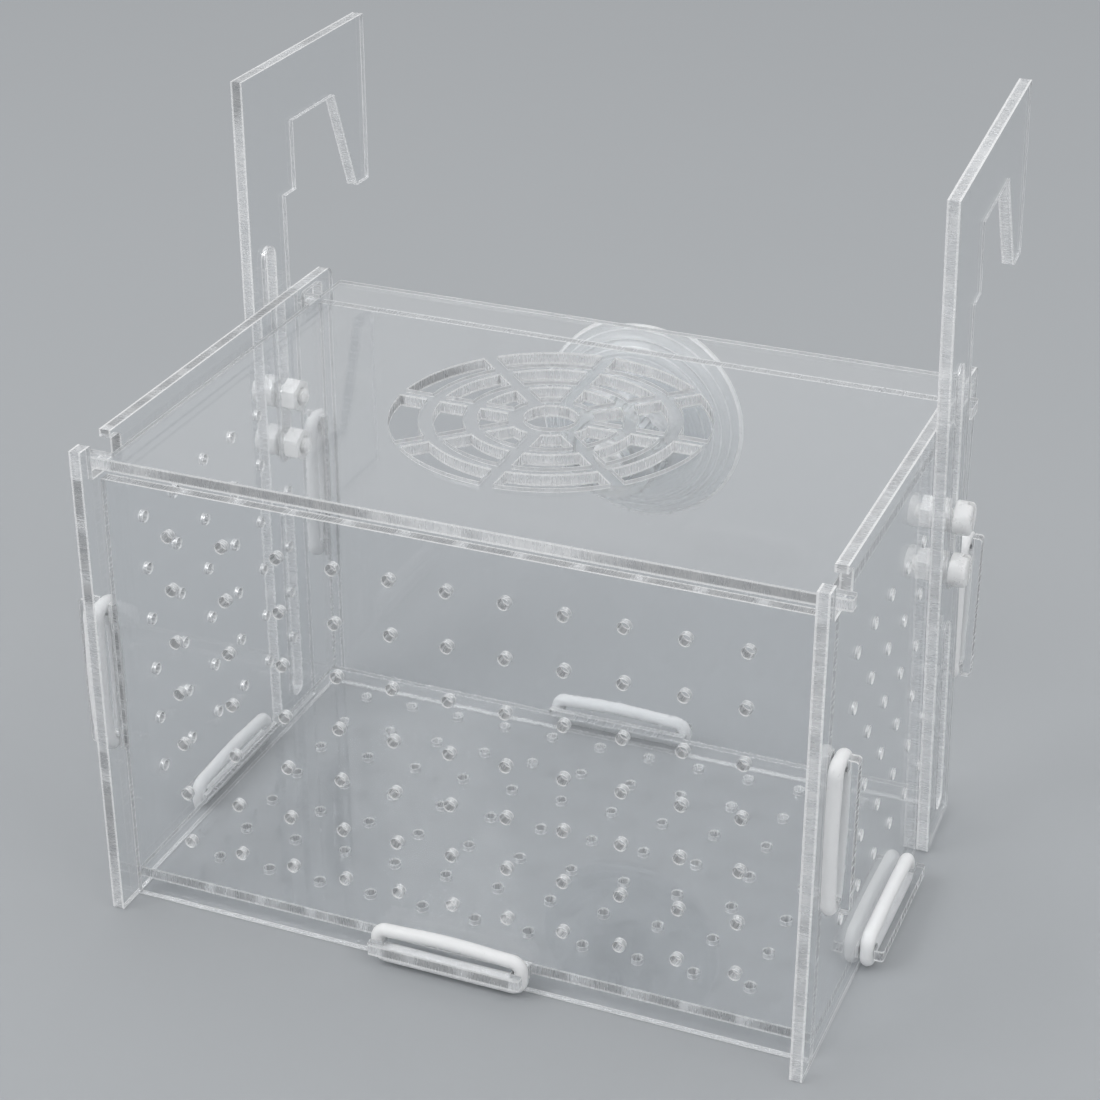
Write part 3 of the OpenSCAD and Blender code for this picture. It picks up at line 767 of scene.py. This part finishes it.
def cup_nut(shapes, material):
    """Ribbed nut with a dished face, on the cup's neck."""
    node = "cup_nut"
    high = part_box(node)[1]
    centre, size = box_centre(node)
    axis, arm = Vector((0.0, -1.0, 0.0)), Vector((1.0, 0.0, 0.0))
    start = Vector((centre.x, high[1], centre.z))
    crest, tall, bore, slope = size[0] / 2, size[1], 3.75 * MM, 0.8 * MM
    boss, wall, flare = 5.4 * MM, crest - 2.4 * MM, 0.4 * MM  # the dish lies between these two
    profile = [(bore, 0.0), (crest - slope, 0.0), (crest, slope), (crest, tall - slope),
               (crest - slope, tall), (wall, tall), (wall - flare, tall - shapes.dish),
               (boss + flare, tall - shapes.dish), (boss, tall), (bore, tall), (bore, 0.0)]
    steps_per_rib = 10
    shape = spun(profile, start, axis, arm, steps_per_rib * shapes.ribs)
    # the round grooves have their middles a little outside the ribs
    middle, pitch = crest + 0.2 * MM, 2 * math.pi / shapes.ribs
    for vert in shape.verts:
        offset = vert.co - start
        reach = math.hypot(offset.x, offset.z)
        turn = (math.atan2(offset.z, offset.x) + pitch / 2) % pitch - pitch / 2
        aside = middle * math.sin(turn)
        if reach > wall and abs(aside) < shapes.groove_round:
            floor = middle * math.cos(turn) - math.sqrt(shapes.groove_round ** 2 - aside ** 2)
            if floor < reach:
                vert.co.x = start.x + offset.x * floor / reach
                vert.co.z = start.z + offset.z * floor / reach
    mesh = to_mesh("Plastic_cup_nut", shape, 25)
    return show("Plastic_cup_nut", mesh, material, node)


def suction_cup(shapes, material):
    """Cup with a threaded neck, a thick middle, a ridged skirt and a fine mould seam."""
    node = "suction_cup"
    low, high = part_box(node)
    centre, size = box_centre(node)
    axis, arm = Vector((0.0, 1.0, 0.0)), Vector((1.0, 0.0, 0.0))
    panel = Vector((centre.x, high[1] - shapes.cup_depth, centre.z))
    rim, depth = size[0] / 2, shapes.cup_depth
    front = low[1] - panel.y
    neck, hub = 3.5 * MM, 7.5 * MM  # radii
    plate, gap = 2.6 * MM, 0.3 * MM  # thickness of the back panel, and play behind it
    shell_top, hollow_top, lip = 1.8 * MM, 5.4 * MM, 0.8 * MM
    shell_rise, hollow_rise = depth - shell_top, depth - hollow_top
    shell_r = (rim ** 2 + shell_rise ** 2) / (2 * shell_rise)
    hollow_r = ((rim - lip) ** 2 + hollow_rise ** 2) / (2 * hollow_rise)
    # radius, half width and share of the ridge height
    ridges = ((rim - 3.4 * MM, 0.75 * MM, 2.2), (rim - 6.3 * MM, 0.45 * MM, 1.0),
              (rim - 9.2 * MM, 0.45 * MM, 0.8))

    def back_of_shell(radius):
        rise = sum(height * shapes.cup_ridge
                   * math.exp(-((radius - at) / width) ** 4) for at, width, height in ridges)
        return shell_top + shell_r - math.sqrt(shell_r ** 2 - radius ** 2) - rise

    tip, step = 0.6 * MM, shapes.neck_pitch / THREAD_STEPS
    profile = [(0.0, front)] + arc((neck - tip, front + tip), tip, -90, 0, 6)
    profile += [(neck, front + tip + step * i)
                for i in range(1, int((-plate - front - tip) / step))]
    hub_round, rim_round = 0.6 * MM, 0.15 * MM
    profile += [(neck, -plate), (neck, gap), (hub - hub_round, gap)]
    profile += arc((hub - hub_round, gap + hub_round), hub_round, -90, 0, 5)[1:]
    # the hub flares into the shell
    profile += [(hub + 0.1 * MM, 1.9 * MM), (hub + 0.4 * MM, 2.5 * MM)]
    steps, first = 66, hub + 1.2 * MM
    outside = [first + (rim - first) * i / steps for i in range(steps)]
    profile += [(radius, back_of_shell(radius)) for radius in outside]
    profile += arc((rim - rim_round, depth - rim_round), rim_round, -30, 90, 4)
    steps, inner = 30, rim - lip
    inside = [inner * (1 - i / steps) for i in range(steps + 1)]
    profile += [(radius, depth - hollow_rise + hollow_r
                 - math.sqrt(hollow_r ** 2 - radius ** 2)) for radius in inside]
    shape = spun(profile, panel, axis, arm, 180)
    for vert in shape.verts:
        offset = vert.co - panel
        along, radius = offset.y, math.hypot(offset.x, offset.z)
        if front + tip + step / 2 < along < -plate - step / 2 and radius > 0.9 * neck:
            turn = math.atan2(offset.z, offset.x) / (2 * math.pi)
            kept = 1 - thread_cut(shapes.neck_thread, shapes.neck_pitch, along,
                                  along - front - tip, turn) / radius
            vert.co.x, vert.co.z = panel.x + offset.x * kept, panel.z + offset.z * kept
    # the seam of the mould runs across the outside, a little off upright
    seam, seam_half = math.radians(82), math.radians(1.1)
    for vert in shape.verts:
        offset = vert.co - panel
        along, radius = offset.y, math.hypot(offset.x, offset.z)
        if hub < radius < rim - 0.6 * MM and along < back_of_shell(radius) + 0.2 * MM:
            angle = math.atan2(offset.z, offset.x)
            away = abs((angle - seam + math.pi / 2) % math.pi - math.pi / 2)
            if away < seam_half:
                vert.co.y -= shapes.cup_seam
    mesh = to_mesh("Vinyl_suction_cup", shape, 50)
    return show("Vinyl_suction_cup", mesh, material, node)


# ---------- operators ----------

class BREEDING_OT_plates(bpy.types.Operator):
    """Finish the five slotted plates of the box"""
    bl_idname = "breeding_box.plates"
    bl_label = "Plates"

    def execute(self, context):
        for name in PLATES:
            finish_node(name, acrylic(name, context.scene.breeding_finish))
        return {"FINISHED"}


class BREEDING_OT_lid(bpy.types.Operator):
    """Finish the lid with its feeding grille"""
    bl_idname = "breeding_box.lid"
    bl_label = "Lid"

    def execute(self, context):
        finish_node("lid", acrylic("lid", context.scene.breeding_finish))
        return {"FINISHED"}


class BREEDING_OT_hooks(bpy.types.Operator):
    """Finish the two hooks that hang the box on the aquarium wall"""
    bl_idname = "breeding_box.hooks"
    bl_label = "Hooks"

    def execute(self, context):
        for name in HOOKS:
            finish_node(name, acrylic(name, context.scene.breeding_finish))
        return {"FINISHED"}


class BREEDING_OT_rings(bpy.types.Operator):
    """Make the silicone rings that hold the tabs"""
    bl_idname = "breeding_box.rings"
    bl_label = "Silicone rings"

    def execute(self, context):
        material = silicone(context.scene.breeding_finish)
        for name in RINGS:
            silicone_ring(name, context.scene.breeding_shapes.ring_bow, material)
        return {"FINISHED"}


class BREEDING_OT_screws(bpy.types.Operator):
    """Make the clamp screws that hold the hooks"""
    bl_idname = "breeding_box.screws"
    bl_label = "Clamp screws"

    def execute(self, context):
        material = nylon(context.scene.breeding_finish)
        for name in SCREWS:
            clamp_screw(name, context.scene.breeding_shapes, material)
        return {"FINISHED"}


class BREEDING_OT_nuts(bpy.types.Operator):
    """Make the nuts of the clamp screws"""
    bl_idname = "breeding_box.nuts"
    bl_label = "Nuts"

    def execute(self, context):
        material = nylon(context.scene.breeding_finish)
        for name in NUTS:
            clamp_nut(name, context.scene.breeding_shapes, material)
        return {"FINISHED"}


class BREEDING_OT_cup(bpy.types.Operator):
    """Make the suction cup"""
    bl_idname = "breeding_box.cup"
    bl_label = "Suction cup"

    def execute(self, context):
        suction_cup(context.scene.breeding_shapes, vinyl(context.scene.breeding_finish))
        return {"FINISHED"}


class BREEDING_OT_cup_nut(bpy.types.Operator):
    """Make the ribbed nut that holds the suction cup"""
    bl_idname = "breeding_box.cup_nut"
    bl_label = "Cup nut"

    def execute(self, context):
        cup_nut(context.scene.breeding_shapes, clear_plastic(context.scene.breeding_finish))
        return {"FINISHED"}


def area_light(name, place, side, power):
    """Soft square lamp, turned to the middle of the object."""
    data = bpy.data.lights.new(name, "AREA")
    data.shape, data.size, data.size_y = "RECTANGLE", side, side
    data.energy = power
    lamp = bpy.data.objects.new(name, data)
    bpy.context.collection.objects.link(lamp)
    lamp.location = place
    aim = Vector(LAMP_TARGET) - Vector(place)
    lamp.rotation_euler = aim.to_track_quat("-Z", "Y").to_euler()


def floor_material(colour):
    material, tree, out = new_material("Floor")
    surface = place_group(tree, the_group("Moulded surface", moulded_group),
                          Base=rgba(colour), Cloud=rgba([c * 1.01 for c in colour]),
                          Grain=0.02, Gloss=0.7)
    tree.links.new(principled(tree, surface, FLOOR_RELIEF, Specular_IOR_Level=0.1),
                   out.inputs["Surface"])
    return material


def add_floor(studio):
    """Plain round floor under the box."""
    mesh = bpy.data.meshes.new("Floor")
    shape = bmesh.new()
    bmesh.ops.create_circle(shape, cap_ends=True, segments=96, radius=FLOOR_RADIUS)
    bmesh.ops.translate(shape, verts=shape.verts, vec=(0.0, 0.0, -FLOOR_GAP))
    shape.to_mesh(mesh)
    shape.free()
    floor = bpy.data.objects.new("Floor", mesh)
    bpy.context.collection.objects.link(floor)
    mesh.materials.append(floor_material(studio.floor))


def add_sky(studio):
    """Even light from all round, and a backdrop for the camera and for clear, glossy pieces."""
    world = bpy.data.worlds.new("Sky")
    bpy.context.scene.world = world
    world.use_nodes = True
    tree = world.node_tree
    nodes, links = tree.nodes, tree.links
    nodes.clear()
    sky, back = nodes.new("ShaderNodeBackground"), nodes.new("ShaderNodeBackground")
    sky.inputs["Color"].default_value = SKY_COLOUR
    sky.inputs["Strength"].default_value = studio.sky
    back.inputs["Color"].default_value = rgba(studio.floor)
    back.inputs["Strength"].default_value = studio.sky
    path, mix = nodes.new("ShaderNodeLightPath"), nodes.new("ShaderNodeMixShader")
    # clear and glossy pieces see the backdrop low down and the bright sky above it
    direction = nodes.new("ShaderNodeSeparateXYZ")
    links.new(nodes.new("ShaderNodeTexCoord").outputs["Generated"], direction.inputs[0])
    low = spread(tree, direction.outputs["Z"], BACKDROP_TOP, SKY_START, 1.0, 0.0, smooth=True)
    bent = math_node(tree, "MAXIMUM", path.outputs["Is Glossy Ray"],
                     path.outputs["Is Transmission Ray"])
    bent = math_node(tree, "MULTIPLY", bent, low)
    links.new(math_node(tree, "MAXIMUM", path.outputs["Is Camera Ray"], bent), mix.inputs[0])
    links.new(sky.outputs[0], mix.inputs[1])
    links.new(back.outputs[0], mix.inputs[2])
    links.new(mix.outputs[0], nodes.new("ShaderNodeOutputWorld").inputs["Surface"])


def add_camera(studio):
    """Camera in front of the box, a little to its right and above it."""
    data = bpy.data.cameras.new("Camera")
    data.lens, data.sensor_width = studio.lens, SENSOR_WIDTH
    data.clip_start, data.clip_end = 0.01, 50.0
    camera = bpy.data.objects.new("Camera", data)
    bpy.context.collection.objects.link(camera)
    camera.location, camera.rotation_euler = CAMERA_PLACE, CAMERA_TURN
    bpy.context.scene.camera = camera


class BREEDING_OT_stage(bpy.types.Operator):
    """Set the floor, the soft lamps and the camera"""
    bl_idname = "breeding_box.stage"
    bl_label = "Studio"

    def execute(self, context):
        studio = context.scene.breeding_studio
        add_floor(studio)
        add_sky(studio)
        for name, place, side, share in LAMPS:
            area_light(name, place, side, studio.key_power * share)
        add_camera(studio)
        context.scene.view_settings.view_transform = "Standard"
        return {"FINISHED"}


OPERATORS = (BREEDING_OT_plates, BREEDING_OT_lid, BREEDING_OT_hooks, BREEDING_OT_rings,
             BREEDING_OT_screws, BREEDING_OT_nuts, BREEDING_OT_cup, BREEDING_OT_cup_nut,
             BREEDING_OT_stage)


class BREEDING_PT_panel(bpy.types.Panel):
    """Lists the pieces of the breeding box"""
    bl_idname = "BREEDING_PT_panel"
    bl_label = "Breeding box"
    bl_space_type = "VIEW_3D"
    bl_region_type = "UI"
    bl_category = "Breeding box"

    def draw(self, context):
        layout = self.layout
        scene = context.scene
        for settings in (scene.breeding_finish, scene.breeding_shapes, scene.breeding_studio):
            for label in settings.__annotations__:
                layout.prop(settings, label)
        for operator in OPERATORS:
            layout.operator(operator.bl_idname)


CLASSES = (BreedingBoxFinish, BreedingBoxShapes, BreedingBoxStudio, *OPERATORS,
           BREEDING_PT_panel)


def register():
    for each in CLASSES:
        bpy.utils.register_class(each)
    bpy.types.Scene.breeding_finish = bpy.props.PointerProperty(type=BreedingBoxFinish)
    bpy.types.Scene.breeding_shapes = bpy.props.PointerProperty(type=BreedingBoxShapes)
    bpy.types.Scene.breeding_studio = bpy.props.PointerProperty(type=BreedingBoxStudio)


def unregister():
    del bpy.types.Scene.breeding_studio
    del bpy.types.Scene.breeding_shapes
    del bpy.types.Scene.breeding_finish
    for each in reversed(CLASSES):
        bpy.utils.unregister_class(each)


def main():
    register()
    for operator in OPERATORS:
        group_name, call = operator.bl_idname.split(".")
        getattr(getattr(bpy.ops, group_name), call)()


if __name__ == "__main__":
    main()
